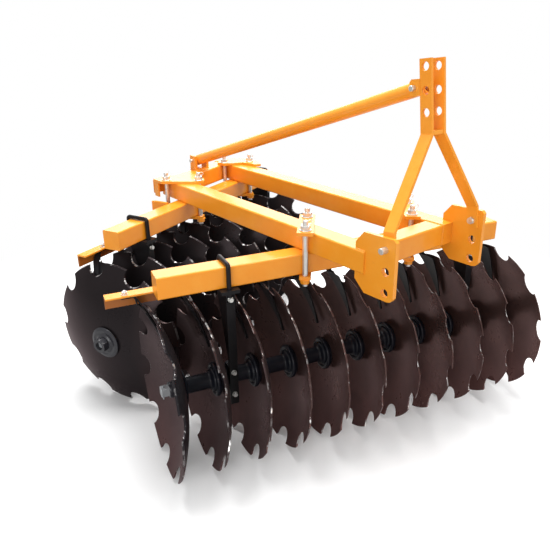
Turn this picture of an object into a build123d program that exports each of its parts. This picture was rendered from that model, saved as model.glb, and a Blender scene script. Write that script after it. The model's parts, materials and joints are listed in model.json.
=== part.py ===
from build123d import *
import math
import os

# Disc harrow for a three-point hitch: two gangs of notched discs under a welded frame with a mast.
# Millimetres. +X is forward to the tractor, +Y is left, +Z is up, and the ground is z = 0.
# All places below are taken from the front ends of the long beams, on the mid line; SHIFT then moves
# everything so that the origin is on the ground under the middle of the overall length and width.

os.makedirs("parts", exist_ok=True)

SHIFT = (729.37, 47.61, 0.0)
GAP = 0.3  # between faces that are bolted or welded together

# ---- discs, spools and axles --------------------------------------------------------------------
DISC_R = 305.0        # 24 inch disc
DISC_T = 5.0
DISH = 76.0           # depth of the hollow face
PITCH = 142.5         # disc to disc
NOTCHES = 10
NOTCH_R = 42.0
NOTCH_AT = DISC_R - 3.0    # radius of the notch centres
NOTCH_TURN = {"front": 10.5, "rear": 5.0}   # first notch over the forward direction, degrees
AXLE = 32.0           # square bar
HOLE = 33.0           # square hole in each disc
SPOOL_R = 27.0        # tube of a spool
SPOOL_BORE = 23.5
FLANGE_R = 62.0       # bell flange at each end of a spool
FLANGE_T = 6.0
BELL = 3.0            # length of the bell behind a flange
END_R = 65.0          # end washer
NUT_R = 30.0
NUT_L = 25.0
AXLE_OUT = 70.0       # axle beyond the vertex of the end disc

AXLE_Z = DISC_R
DISH_R = (DISC_R ** 2 + DISH ** 2) / (2 * DISH)   # radius of the hollow face

# ---- gangs: x of the beam's middle on the mid line, turn about z, first disc, beam and bar ends ----
GANG = {
    #         x0       turn    disc 0  beam from  beam to  bar from  bar to
    "front": (-225.7, 15.8, -709.0, -764.0, 599.0, -911.0, 690.0),
    "rear": (-1205.0, -23.1, -806.0, -714.0, 480.0, -782.0, 605.0),
}
DISC_COUNT = {"front": 11, "rear": 10}
HANGERS = {"front": (1, 8), "rear": (0, 7)}   # each stands behind this disc, counted from the hollow end

# ---- frame ----------------------------------------------------------------------------------------
TUBE = 76.0           # square tube of the gang beams and the frame
TUBE_ROUND = 6.0      # outer radius of its corners
BEAM_ROOM = 52.0      # from the top of the discs to the gang beams
BEAM_Z = 2 * DISC_R + BEAM_ROOM
HALF_W = 240.0        # outer face of a long beam
CENTRE = HALF_W - TUBE / 2
CROSS_X = -1311.0     # middle of the rear crossbeam on the mid line
CROSS_TURN = math.radians(GANG["rear"][1])
CROSS_END = TUBE / 2 / math.cos(CROSS_TURN)
RIGHT_REAR = CROSS_X - CENTRE * math.tan(CROSS_TURN) - CROSS_END
LEFT_REAR = CROSS_X + CENTRE * math.tan(CROSS_TURN) - CROSS_END
FRAME_Z = BEAM_Z + TUBE + GAP
TOP_Z = FRAME_Z + TUBE

# ---- hitch: heights of the mast are measured along its leaning legs from the foot bolt ---------------
PLATE_T = 15.0
PLATE_SET = 6.3       # a hitch plate stands this far inside the outer face of its long beam
PLATE_Y = HALF_W - PLATE_SET
PLATE_REAR = -42.0
PLATE_FRONT = 118.0
PLATE_LOW = FRAME_Z - 63.0
PLATE_HIGH = TOP_Z + 66.0
PLATE_XZ = [(PLATE_REAR, PLATE_LOW + 38), (PLATE_REAR, PLATE_HIGH - 42), (PLATE_REAR + 32, PLATE_HIGH - 4),
            (PLATE_FRONT - 9, PLATE_HIGH), (PLATE_FRONT, PLATE_HIGH - 9), (PLATE_FRONT, PLATE_LOW + 17),
            (PLATE_FRONT - 10, PLATE_LOW + 4), (PLATE_FRONT - 22, PLATE_LOW), (PLATE_REAR + 42, PLATE_LOW)]
LINK_R = 14.35        # lower link pin hole
LINK_X = 83.0
LINK_Z = (FRAME_Z + 33.0, FRAME_Z - 37.0)
MAST_BOLT_R = 10.0
MAST_X = 80.0
MAST_BOLT_Z = TOP_Z + 28.0
MAST_LEAN = 6.7       # degrees, top to the rear
MAST_W = 42.0
MAST_T = 10.0
MAST_IN = 25.5        # half of the clevis gap
MAST_UP = 533.0       # bolt to the top end
MAST_TOP = MAST_BOLT_Z + MAST_UP
BEND_Z = MAST_TOP - 221.0
KNEE_Z = MAST_BOLT_Z + 48.0
FOOT_Z = MAST_BOLT_Z - 26.0
TOP_R = 12.95         # top link pin hole
TOP_HOLES = (MAST_TOP - 22.0, MAST_TOP - 91.0, MAST_TOP - 154.0)
EAR_T = 12.0
EAR_H = 26.0          # half of the ear's height
BRACE_R = 24.0
BRACE_PIN_R = 8.7
BRACE_HOLE_R = 9.0
BRACE_EAR = (MAST_X - 43.0, MAST_TOP - 82.0)     # the hole in the ears, before the mast leans
BRACE_REAR = (CROSS_X - 11.0, TOP_Z + 46.5)

# ---- clamps ---------------------------------------------------------------------------------------
CLAMP_T = 12.0
CLAMP_W = 56.0        # upper plates
LOW_W = 40.0          # lower plates
LOW_OVER = 14.0
CLAMP_OUT = TUBE / 2 + 20.0   # bolt to the middle of the long beam
CLAMP_IN = TUBE / 2 + 10.0    # the same on the inner side of the beam
CLAMP_OFF = TUBE / 2 + 10.7   # bolt to the middle of the gang beam
CLAMP_BACK = TUBE / 2 + 47.0  # the same for the far bolts behind it
BOLT_R = 9.5
BOLT_HOLE_R = 10.5
BOLT_UNDER = 26.0     # below the lower plate
BOLT_OVER = 32.0      # above the upper plate


def block(x0, x1, y0, y1, z0, z1):
    return Pos((x0 + x1) / 2, (y0 + y1) / 2, (z0 + z1) / 2) * Box(abs(x1 - x0), abs(y1 - y0), abs(z1 - z0))


def tube(shape, along):
    """Rounds the four long corners of a square tube."""
    return fillet(shape.edges().filter_by(along), TUBE_ROUND)


def plate_xz(points, y0, y1):
    """Polygon in x, z, as thick as y0 to y1."""
    face = make_face(Polyline(*[(x, 0, z) for x, z in points], close=True))
    return Pos(0, y0, 0) * extrude(face, amount=abs(y1 - y0), dir=(0, 1, 0))


def plate_xy(points, z0, z1):
    face = make_face(Polyline(*[(x, y, 0) for x, y in points], close=True))
    return Pos(0, 0, z0) * extrude(face, amount=z1 - z0, dir=(0, 0, 1))


def rod_y(x, z, y0, y1, r):
    return Pos(x, (y0 + y1) / 2, z) * (Rot(90, 0, 0) * Cylinder(r, abs(y1 - y0)))


def rod_z(x, y, z0, z1, r):
    return Pos(x, y, (z0 + z1) / 2) * Cylinder(r, z1 - z0)


def turned(points):
    """Solid of revolution about the Y axis from (radius, y) points."""
    return revolve(make_face(Polyline(*[(r, y, 0) for r, y in points], close=True)), Axis.Y)


def sag(r, radius=DISH_R):
    return radius - math.sqrt(radius ** 2 - r ** 2)


def write(name, shapes):
    shapes = shapes if isinstance(shapes, list) else [shapes]
    solids = [s for shape in shapes for s in (Pos(*SHIFT) * shape).solids()]
    export_step(solids[0] if len(solids) == 1 else Compound(children=solids), "parts/" + name + ".step")


# ---- disc: a spherical dish, hollow to -Y, with rounded notches and a square hole ------------------
def disc_shape(turn):
    out = DISH_R + DISC_T
    hollow = ThreePointArc((0, 0, 0), (DISC_R / 2, -sag(DISC_R / 2), 0), (DISC_R, -sag(DISC_R), 0))
    back = lambda r: -DISH_R + math.sqrt(out ** 2 - r ** 2)
    edge = Line((DISC_R, -sag(DISC_R), 0), (DISC_R, back(DISC_R), 0))
    round_back = ThreePointArc((DISC_R, back(DISC_R), 0), (DISC_R / 2, back(DISC_R / 2), 0), (0, DISC_T, 0))
    dish = revolve(make_face([hollow, edge, round_back, Line((0, DISC_T, 0), (0, 0, 0))]), Axis.Y)
    bite = rod_y(NOTCH_AT, 0, -DISH - 20, 20, NOTCH_R)
    cuts = [Rot(0, -turn - 360 * k / NOTCHES, 0) * bite for k in range(NOTCHES)]
    return dish - cuts - Box(HOLE, 40, HOLE)


def spool_shape():
    """From the back of one disc to the hollow of the next, bell flange at each end."""
    a = DISC_T + GAP
    b = PITCH - sag(SPOOL_R) - GAP
    f = PITCH - sag(FLANGE_R) - GAP
    return turned([(SPOOL_BORE, a), (FLANGE_R, a), (FLANGE_R, a + FLANGE_T), (SPOOL_R, a + FLANGE_T + BELL),
                   (SPOOL_R, f - FLANGE_T - BELL), (FLANGE_R, f - FLANGE_T), (FLANGE_R, f), (SPOOL_R, f),
                   (SPOOL_R, b), (SPOOL_BORE, b)])


def axle_shape(count):
    """Square bar with a washer and a nut outside each end disc, fused on."""
    last = PITCH * (count - 1)
    w = -sag(END_R) - GAP
    v = last + DISC_T + GAP
    bar = block(-AXLE / 2, AXLE / 2, -AXLE_OUT, last + AXLE_OUT, -AXLE / 2, AXLE / 2)
    first = turned([(0, w), (END_R, w), (END_R, w - 6), (NUT_R, w - 14), (NUT_R, w - 14 - NUT_L),
                    (0, w - 14 - NUT_L)])
    end = turned([(0, v), (END_R, v), (END_R, v + 6), (NUT_R, v + 14), (NUT_R, v + 14 + NUT_L),
                  (0, v + 14 + NUT_L)])
    return bar + first + end


# ---- bearing hangers ------------------------------------------------------------------------------
HANG_AT = 34.0        # from a disc's vertex to the middle of the hanger behind it
HANG_W = 30.0
WING_T = 6.0
HOUSING_R = 45.0
WEB_X = HOUSING_R + 2.0
WEB_T = 10.0
HANG_FOOT = AXLE_Z - 83.0
PAD_X = TUBE / 2 + 26.0
PAD_W = 64.0
HOUSING_L = 27.0
SEAT_H = 62.0         # half of the seat's height
FIT = 0.05
U_R = 8.0
U_X = TUBE / 2 + U_R + 1.0
U_UNDER = 34.0        # legs below the beam


def hanger_shape(side):
    """Pad under the beam, web beside the axle, two tapering flanges; side +1 puts the web at +X."""
    h = HANG_W / 2
    z1 = BEAM_Z - GAP
    pad = block(-PAD_X, PAD_X, -PAD_W / 2, PAD_W / 2, z1 - CLAMP_T, z1)
    pad -= [rod_z(s * U_X, 0, z1 - 40, z1 + 5, U_R + 1) for s in (-1, 1)]
    web = block(WEB_X, WEB_X + WEB_T, -h, h, HANG_FOOT, z1 - 1)
    wing = [(WEB_X + 1, z1 - 1), (-TUBE / 2, z1 - 1), (-TUBE / 2, z1 - 40), (WEB_X - 12, AXLE_Z + 120),
            (WEB_X + 1, AXLE_Z + 90)]
    web -= block(WEB_X - 2, WEB_X + WEB_T + 2, -U_R - 4, U_R + 4, z1 - 44, z1)
    body = web + plate_xz(wing, -h, -h + WING_T) + plate_xz(wing, h - WING_T, h)
    if side < 0:
        body = Rot(0, 0, 180) * body
    return body + pad


def housing_shape(side):
    barrel = rod_y(0, AXLE_Z, -HOUSING_L / 2, HOUSING_L / 2, HOUSING_R)
    seat = block(0, side * (WEB_X - GAP), -HOUSING_L / 2, HOUSING_L / 2, AXLE_Z - SEAT_H, AXLE_Z + SEAT_H)
    return barrel + seat - rod_y(0, AXLE_Z, -80, 80, SPOOL_R + FIT)


def u_bolt_shape():
    top = BEAM_Z + TUBE + U_R + 1
    c = U_R + 1
    path = Polyline((-U_X, 0, BEAM_Z - U_UNDER), (-U_X, 0, top - c)) + ThreePointArc(
        (-U_X, 0, top - c), (-U_X + c * 0.2929, 0, top - c * 0.2929), (-U_X + c, 0, top))
    path += Line((-U_X + c, 0, top), (U_X - c, 0, top))
    path += ThreePointArc((U_X - c, 0, top), (U_X - c * 0.2929, 0, top - c * 0.2929), (U_X, 0, top - c))
    path += Line((U_X, 0, top - c), (U_X, 0, BEAM_Z - U_UNDER))
    return sweep(Plane((-U_X, 0, BEAM_Z - U_UNDER), z_dir=(0, 0, 1)) * Circle(U_R), path=path)


# ---- scrapers -------------------------------------------------------------------------------------
BAR_X = TUBE / 2 + 38.0   # front edge of the top flange from the beam's middle
BAR_W = 42.0
BAR_DROP = 50.0
BAR_T = 6.0
BAR_Z = BEAM_Z - 16.0     # top of the bar
BLADE_GAP = 7.0
BLADE_T = 5.0
ROOT_X = BAR_X + 3.0      # root of a finger, under the top flange
ROOT_W = 26.0
ROOT_Z = BAR_Z - BAR_T - GAP
TIP_X = 35.0
TIP_Z = AXLE_Z + 112.0
BLADE_XZ = [(ROOT_X, ROOT_Z), (ROOT_X + ROOT_W, ROOT_Z), (ROOT_X + ROOT_W, BAR_Z - BAR_DROP),
            (TIP_X + 49, TIP_Z + 138), (TIP_X + 21, TIP_Z + 68), (TIP_X, TIP_Z),
            (TIP_X + 9, TIP_Z + 83), (TIP_X + 27, TIP_Z + 150), (ROOT_X, TIP_Z + 200)]
RIB_T = 12.0
RIBS = {
    #         top over the beam's underside, places along the beam
    "front": (40.0, (-640.0, -40.0, 520.0)),
    "rear": (TUBE + 6.0, (-314.0, 370.0)),
}


def blade_shape(side):
    """A finger bent to the hollow of the disc; side is the sign of x of the bar."""
    r1, r0 = DISH_R - BLADE_GAP, DISH_R - BLADE_GAP - BLADE_T
    shell = Pos(0, -DISH_R, AXLE_Z) * (Sphere(r1) - Sphere(r0))
    return shell & plate_xz([(side * x, z) for x, z in BLADE_XZ], -DISC_R, 30)


def scraper_bar(u0, u1, rib_up, ribs):
    """Angle bar behind the beam, upright flange at the rear, with ribs to the beam; built at -X."""
    back = -BAR_X - BAR_W
    bar = block(back, back + BAR_T, u0, u1, BAR_Z - BAR_DROP, BAR_Z)
    bar += block(back, -BAR_X, u0, u1, BAR_Z - BAR_T, BAR_Z)
    for u in ribs:
        bar += block(back, -TUBE / 2 - GAP, u - RIB_T / 2, u + RIB_T / 2, BAR_Z - 1, BEAM_Z + rib_up)
    return bar


# ---- gang clamps: two long bolts at each crossing of a gang beam and a long beam -------------------
def bolt_place(name, y, off):
    x0, turn = GANG[name][:2]
    return x0 + math.tan(math.radians(turn)) * y + off / math.cos(math.radians(turn)), y


CROSSINGS = {
    #                 gang     bolt y, from gang beam               bolt y, from gang beam
    "front_right": ("front", (-CENTRE - CLAMP_OUT, CLAMP_OFF), (-CENTRE + CLAMP_IN, -CLAMP_BACK)),
    "front_left": ("front", (CENTRE - CLAMP_IN, CLAMP_OFF), (CENTRE + CLAMP_OUT, -CLAMP_BACK)),
    "rear_right": ("rear", (-CENTRE - CLAMP_OUT, -CLAMP_BACK), (-CENTRE + CLAMP_IN, CLAMP_OFF)),
    "rear_left": ("rear", (CENTRE - CLAMP_OUT, -CLAMP_OFF), (CENTRE + CLAMP_OUT, CLAMP_OFF)),
}

spool = spool_shape()
u_bolt = u_bolt_shape()

for name, (x0, turn, first, b0, b1, s0, s1) in GANG.items():
    count = DISC_COUNT[name]
    place = Location((x0, 0, 0), (0, 0, -turn))
    last = first + PITCH * (count - 1)
    # the front gang's hollows face right, the rear gang's face left
    gang = place * (Location((0, first, 0)) if name == "front" else Location((0, last, 0), (0, 0, 180)))
    side = 1 if name == "front" else -1
    rot = gang * Pos(0, 0, AXLE_Z)
    disc = disc_shape(NOTCH_TURN[name])
    # each disc sits a quarter turn round the square axle from the one before it
    quarter = 0 if name == "front" else 1
    write(name + "_discs", [rot * Location((0, PITCH * k, 0), (0, 90 * ((k + quarter) % 4), 0)) * disc
                            for k in range(count)])
    write(name + "_spools", [rot * Pos(0, PITCH * k, 0) * spool for k in range(count - 1)])
    write(name + "_axle", rot * axle_shape(count))
    beam = tube(block(-TUBE / 2, TUBE / 2, b0, b1, BEAM_Z, BEAM_Z + TUBE), Axis.Y)
    write(name + "_gang_beam", place * beam)
    spots = [gang * Pos(0, PITCH * k + HANG_AT, 0) for k in HANGERS[name]]
    write(name + "_hangers", [s * hanger_shape(side) for s in spots])
    write(name + "_bearings", [s * housing_shape(side) for s in spots])
    write(name + "_u_bolts", [s * u_bolt for s in spots])
    blade = blade_shape(-side)
    write(name + "_scrapers", [gang * Pos(0, PITCH * k, 0) * blade for k in range(count)])
    holes = [rod_z(*bolt_place(gang_name, *at), BAR_Z - 20, BAR_Z + 5, BOLT_HOLE_R)
             for gang_name, *pair in CROSSINGS.values() if gang_name == name for at in pair if at[1] < 0]
    write(name + "_scraper_bar", place * scraper_bar(s0, s1, *RIBS[name]) - holes)


# ---- frame ----------------------------------------------------------------------------------------
slot = block(PLATE_REAR - GAP, 5, PLATE_Y + GAP, PLATE_Y - PLATE_T - GAP, FRAME_Z - 5, TOP_Z + 5)
for name, sign, rear in (("right", -1, RIGHT_REAR), ("left", 1, LEFT_REAR)):
    cut = slot if sign > 0 else mirror(slot, about=Plane.XZ)
    beam = tube(block(rear, 0, sign * HALF_W, sign * (HALF_W - TUBE), FRAME_Z, TOP_Z), Axis.X)
    write("long_beam_" + name, beam - cut)

INNER = HALF_W - TUBE - GAP
write("front_crossbeam", tube(block(-TUBE, 0, -INNER, INNER, FRAME_Z, TOP_Z), Axis.Y))
skew = Location((CROSS_X, 0, 0), (0, 0, -GANG["rear"][1]))
cross = skew * tube(block(-TUBE / 2, TUBE / 2, -2 * INNER, 2 * INNER, FRAME_Z, TOP_Z), Axis.Y)
between = block(CROSS_X - 2 * INNER, CROSS_X + 2 * INNER, -INNER, INNER, FRAME_Z - 5, TOP_Z + 5)
write("rear_crossbeam", cross & between)


# ---- hitch plates, mast and brace -----------------------------------------------------------------
def bent_bar(points, t):
    """Outline of a flat bar bent along (y, z) points, t thick to the left of the way down."""
    def off(d):
        out = []
        for i, p in enumerate(points):
            dirs = []
            for a, b in ((i - 1, i), (i, i + 1)):
                if a >= 0 and b < len(points):
                    dy, dz = points[b][0] - points[a][0], points[b][1] - points[a][1]
                    n = math.hypot(dy, dz)
                    dirs.append((-dz / n, dy / n))
            ny, nz = sum(v[0] for v in dirs) / len(dirs), sum(v[1] for v in dirs) / len(dirs)
            m = ny * ny + nz * nz
            out.append((p[0] + d * ny / m, p[1] + d * nz / m))
        return out
    return off(0) + off(t)[::-1]


def leaned(shape):
    foot = (MAST_X, 0, MAST_BOLT_Z)
    return Pos(*foot) * Rot(0, -MAST_LEAN, 0) * Pos(-foot[0], 0, -foot[2]) * shape


def lean_point(x, z):
    t = math.radians(MAST_LEAN)
    dx, dz = x - MAST_X, z - MAST_BOLT_Z
    return (MAST_X + dx * math.cos(t) - dz * math.sin(t), MAST_BOLT_Z + dx * math.sin(t) + dz * math.cos(t))


FOOT_Y = PLATE_Y - PLATE_T - GAP      # outer face of a mast foot
for name, sign in (("right", -1), ("left", 1)):
    y0, y1 = sign * PLATE_Y, sign * (PLATE_Y - PLATE_T)
    hitch = plate_xz(PLATE_XZ, min(y0, y1), max(y0, y1))
    hitch -= rod_y(MAST_X, MAST_BOLT_Z, y0 + 5 * sign, y1 - 5 * sign, MAST_BOLT_R + 0.5)
    hitch -= [rod_y(LINK_X, z, y0 + 5 * sign, y1 - 5 * sign, LINK_R) for z in LINK_Z]
    write("hitch_plate_" + name, hitch)
    inner = [(MAST_IN, MAST_TOP), (MAST_IN, BEND_Z), (FOOT_Y - MAST_T, KNEE_Z), (FOOT_Y - MAST_T, FOOT_Z)]
    face = make_face(Polyline(*[(0, sign * y, z) for y, z in bent_bar(inner, MAST_T)], close=True))
    leg = Pos(MAST_X - MAST_W / 2, 0, 0) * extrude(face, amount=MAST_W, dir=(1, 0, 0))
    e0, e1 = sign * MAST_IN, sign * (MAST_IN + EAR_T)
    ex, ez = BRACE_EAR
    weld = MAST_X - MAST_W / 2 + 1
    ear = [(ex - 15, ez - EAR_H + 5), (ex - 15, ez + EAR_H - 8), (ex - 7, ez + EAR_H), (weld, ez + EAR_H),
           (weld, ez - EAR_H + 5), (ex + 4, ez - EAR_H)]
    leg += plate_xz(ear, min(e0, e1), max(e0, e1))
    side = FOOT_Y + MAST_T
    leg -= [rod_y(MAST_X, z, 0, sign * side, TOP_R) for z in TOP_HOLES]
    leg -= rod_y(ex, ez, 0, sign * side, BRACE_HOLE_R)
    leg -= rod_y(MAST_X, MAST_BOLT_Z, 0, sign * side, MAST_BOLT_R + 0.5)
    write("mast_plate_" + name, leaned(leg))
write("mast_bolts", [rod_y(MAST_X, MAST_BOLT_Z, s * (FOOT_Y - MAST_T - 14), s * (PLATE_Y + 14), MAST_BOLT_R)
                     for s in (-1, 1)])
half = MAST_W / 2 - 2
write("mast_spacer", leaned(block(MAST_X - half, MAST_X + half, -MAST_IN + GAP, MAST_IN - GAP, BEND_Z,
                                  BEND_Z + 12)))

BRACE_FRONT = lean_point(*BRACE_EAR)
dx, dz = BRACE_FRONT[0] - BRACE_REAR[0], BRACE_FRONT[1] - BRACE_REAR[1]
span = math.hypot(dx, dz)
along = Location(((BRACE_FRONT[0] + BRACE_REAR[0]) / 2, 0, (BRACE_FRONT[1] + BRACE_REAR[1]) / 2),
                 (0, 90 - math.degrees(math.atan2(dz, dx)), 0))
END_OVER = 26.0
PIPE_WALL = 4.0
pipe = along * (Cylinder(BRACE_R, span + 2 * END_OVER) - Cylinder(BRACE_R - PIPE_WALL, span + 3 * END_OVER))
pipe -= [rod_y(x, z, -60, 60, BRACE_HOLE_R) for x, z in (BRACE_FRONT, BRACE_REAR)]
write("brace_pipe", pipe)
LUG_W = 46.0
lug_z = TOP_Z + GAP
lug = block(BRACE_REAR[0] - LUG_W / 2, BRACE_REAR[0] + LUG_W / 2, -MAST_IN - EAR_T, MAST_IN + EAR_T,
            lug_z, lug_z + 10)
for s in (-1, 1):
    a, b = s * MAST_IN, s * (MAST_IN + EAR_T)
    ear = [(BRACE_REAR[0] - LUG_W / 2, lug_z), (BRACE_REAR[0] - LUG_W / 2, BRACE_REAR[1] + 24),
           (BRACE_REAR[0] + LUG_W / 2, BRACE_REAR[1] + 24), (BRACE_REAR[0] + LUG_W / 2, lug_z)]
    lug += plate_xz(ear, min(a, b), max(a, b))
lug -= rod_y(BRACE_REAR[0], BRACE_REAR[1], -80, 80, BRACE_HOLE_R)
write("brace_lug", lug)
write("brace_pins", [rod_y(x, z, -MAST_IN - EAR_T - 12, MAST_IN + EAR_T + 12, BRACE_PIN_R)
                     for x, z in (BRACE_FRONT, BRACE_REAR)])


# ---- clamps: each crossing has two long bolts on a diagonal, a plate above and a plate below --------
def bar_plate(p, q, z0, z1, width, over):
    """Flat bar from beyond bolt p to beyond bolt q, with their holes."""
    d = math.hypot(q[0] - p[0], q[1] - p[1])
    turn = math.degrees(math.atan2(q[1] - p[1], q[0] - p[0]))
    place = Location(((p[0] + q[0]) / 2, (p[1] + q[1]) / 2, 0), (0, 0, turn))
    bar = place * block(-d / 2 - over, d / 2 + over, -width / 2, width / 2, z0, z1)
    return bar - [rod_z(x, y, z0 - 5, z1 + 5, BOLT_HOLE_R) for x, y in (p, q)]


# outlines from the point where the gang beam crosses the long beam
CORNER = {
    "rear_right": [(-59, -86), (47, 32), (57, 66), (19, 90), (-111, 102), (-143, -48), (-126, -88)],
    "rear_left": [(-54, -82), (-5, -78), (29, 13), (111, 34), (121, 60), (51, 90), (-54, 88), (-101, -2)],
}
LIP = {"rear_right": (-124, -90, -86, -79), "rear_left": (-54, 29, 72, 79)}
LIP_H = 66.0
plates, rods = {"front": [], "rear": []}, {"front": [], "rear": []}
low, up = BEAM_Z - GAP, TOP_Z + GAP
for key, (name, (ya, sa), (yb, sb)) in CROSSINGS.items():
    p, q = bolt_place(name, ya, sa), bolt_place(name, yb, sb)
    plates[name].append(bar_plate(p, q, low - CLAMP_T, low, LOW_W, LOW_OVER))
    if key in CORNER:
        cy = (ya + yb) / 2
        cx = GANG[name][0] + math.tan(math.radians(GANG[name][1])) * cy
        corner = plate_xy([(cx + x, cy + y) for x, y in CORNER[key]], up, up + CLAMP_T)
        x0, x1, y0, y1 = LIP[key]
        corner += block(cx + x0, cx + x1, cy + y0, cy + y1, up + 1 - LIP_H, up + 1)
        corner -= [rod_z(x, y, up - 5, up + 20, BOLT_HOLE_R) for x, y in (p, q)]
        write("corner_plate_" + key[5:], corner)
    else:
        plates[name].append(bar_plate(p, q, up, up + CLAMP_T, CLAMP_W, 30.0))
    z0, z1 = low - CLAMP_T - BOLT_UNDER, up + CLAMP_T + BOLT_OVER
    rods[name] += [rod_z(x, y, z0, z1, BOLT_R) for x, y in (p, q)]
for name in plates:
    write(name + "_clamp_plates", plates[name])
    write(name + "_clamp_bolts", rods[name])
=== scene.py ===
import json
import math
from collections import namedtuple

import bmesh
import bpy
import numpy as np
from mathutils import Matrix, Vector


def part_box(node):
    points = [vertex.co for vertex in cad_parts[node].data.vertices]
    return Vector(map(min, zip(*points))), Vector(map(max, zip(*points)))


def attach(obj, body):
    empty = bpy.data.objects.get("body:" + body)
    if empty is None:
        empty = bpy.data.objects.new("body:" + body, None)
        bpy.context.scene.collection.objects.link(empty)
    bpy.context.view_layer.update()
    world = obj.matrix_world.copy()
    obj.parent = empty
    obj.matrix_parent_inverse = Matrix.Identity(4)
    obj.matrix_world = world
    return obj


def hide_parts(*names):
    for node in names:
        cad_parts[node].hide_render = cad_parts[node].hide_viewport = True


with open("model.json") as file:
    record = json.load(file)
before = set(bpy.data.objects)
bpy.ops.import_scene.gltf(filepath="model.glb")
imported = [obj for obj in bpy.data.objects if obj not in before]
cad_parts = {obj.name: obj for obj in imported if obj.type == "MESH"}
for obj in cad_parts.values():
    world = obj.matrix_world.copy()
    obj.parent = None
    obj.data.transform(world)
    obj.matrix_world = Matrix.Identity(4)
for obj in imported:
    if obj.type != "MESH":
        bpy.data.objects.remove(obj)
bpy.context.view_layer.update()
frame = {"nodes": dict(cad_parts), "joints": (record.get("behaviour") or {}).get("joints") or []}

# ---- long beams and crossbeams ----------------------------------------------------------------------
# Four lengths of square steel tube welded into the carrying frame, sprayed with semi-gloss
# orange-yellow enamel after welding.


class Flow:
    """A value that varies over a surface. + - * with another value or a number add Math nodes."""

    def __init__(self, nodes, socket):
        self.nodes, self.socket = nodes, socket

    def math(self, how, first, second):
        return self.nodes.add("Math", {"operation": how}, {0: first, 1: second})

    def __add__(self, other):
        return self.math("ADD", self, other)

    def __sub__(self, other):
        return self.math("SUBTRACT", self, other)

    def __rsub__(self, other):
        return self.math("SUBTRACT", other, self)

    def __mul__(self, other):
        return self.math("MULTIPLY", self, other)

    __radd__, __rmul__ = __add__, __mul__

    def between(self, low, high):
        """0 below low, 1 above high, straight in between."""
        return self.nodes.add("MapRange", {"clamp": True}, {0: self, 1: low, 2: high, 3: 0.0, 4: 1.0})


class Nodes:
    """The node tree of a material or of the world, emptied, and add() for any node in it."""

    def __init__(self, tree):
        self.tree = tree
        tree.nodes.clear()

    def fill(self, socket, value):
        if isinstance(value, Flow):
            self.tree.links.new(value.socket, socket)
        elif isinstance(value, tuple) and len(value) == 3 and len(socket.default_value) == 4:
            socket.default_value = (*value, 1.0)
        else:
            socket.default_value = value

    def add(self, kind, settings, sockets, result=0):
        """Any node: its settings first, then the values or links of its sockets."""
        made = self.tree.nodes.new("ShaderNode" + kind)
        for key, value in settings.items():
            setattr(made, key, value)
        for key, value in sockets.items():
            self.fill(made.inputs[key], value)
        return Flow(self, made.outputs[result]) if made.outputs else None


class Finish(Nodes):
    """One material: a Principled shader, and what its maps are worked out from."""

    def __init__(self, name, **sockets):
        self.material = bpy.data.materials.new(name)
        self.material.use_nodes = True
        super().__init__(self.material.node_tree)
        self.shader = self.tree.nodes.new("ShaderNodeBsdfPrincipled")
        self.end = self.tree.nodes.new("ShaderNodeOutputMaterial")
        self.tree.links.new(self.shader.outputs[0], self.end.inputs[0])
        self.place = self.add("TexCoord", {}, {}, "Object")
        self.set(**sockets)

    def set(self, **sockets):
        """Principled sockets by name, with _ for a space."""
        for key, value in sockets.items():
            self.fill(self.shader.inputs[key.replace("_", " ")], value)

    def grain(self, scale, detail=3.0, rough=0.55):
        """Noise of about 1 / scale metres."""
        return self.add("TexNoise", {}, {"Vector": self.place, "Scale": scale, "Detail": detail,
                                         "Roughness": rough}, "Fac")

    def part(self, axis):
        """One Object coordinate in metres, axis 0, 1 or 2."""
        return self.add("SeparateXYZ", {}, {0: self.place}, axis)

    def mark(self, name):
        """A number stored on the mesh's points."""
        return self.add("Attribute", {"attribute_type": "GEOMETRY", "attribute_name": name}, {}, "Fac")

    def mix(self, amount, first, second):
        return self.add("Mix", {"data_type": "RGBA"}, {0: amount, 6: first, 7: second}, 2)

    def bump(self, height, depth, strength=1.0):
        self.set(Normal=self.add("Bump", {}, {"Height": height, "Distance": depth, "Strength": strength},
                                 "Normal"))


def dress(finish, *names):
    """Puts a material in every slot of the named CAD nodes."""
    for name in names:
        mesh = frame["nodes"][name].data
        mesh.materials.clear()
        mesh.materials.append(finish.material)


DEEP_ORANGE, LIGHT_ORANGE = (0.83, 0.285, 0.014), (0.88, 0.335, 0.024)
DUSTY_ORANGE, SCUFFED_ORANGE = (0.9, 0.42, 0.06), (0.6, 0.2, 0.03)
ORANGE_PEEL = 420.0       # grains of the sprayed coat in a metre
enamel = Finish("orange_enamel", IOR=1.5, Specular_IOR_Level=0.35, Coat_Roughness=0.12)
cloud = enamel.grain(2.2, 4.0)
peel = enamel.grain(ORANGE_PEEL, 2.0)
dust = enamel.grain(17.0, 6.0, 0.7)
scuff = enamel.grain(36.0, 6.0, 0.75).between(0.66, 0.8)
shade = enamel.mix(cloud.between(0.35, 0.7), DEEP_ORANGE, LIGHT_ORANGE)
worn = enamel.mix(dust.between(0.45, 0.75) * 0.3, shade, DUSTY_ORANGE)
enamel.set(Base_Color=enamel.mix(scuff * 0.35, worn, SCUFFED_ORANGE),
           Roughness=0.27 + cloud * 0.1 + dust * 0.08 + scuff * 0.1,
           Coat_Weight=0.3 - scuff * 0.2)
enamel.bump(peel * 0.5 + cloud * 0.5, 0.0005, 0.3)
dress(enamel, "long_beam_right", "long_beam_left", "front_crossbeam", "rear_crossbeam")

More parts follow.
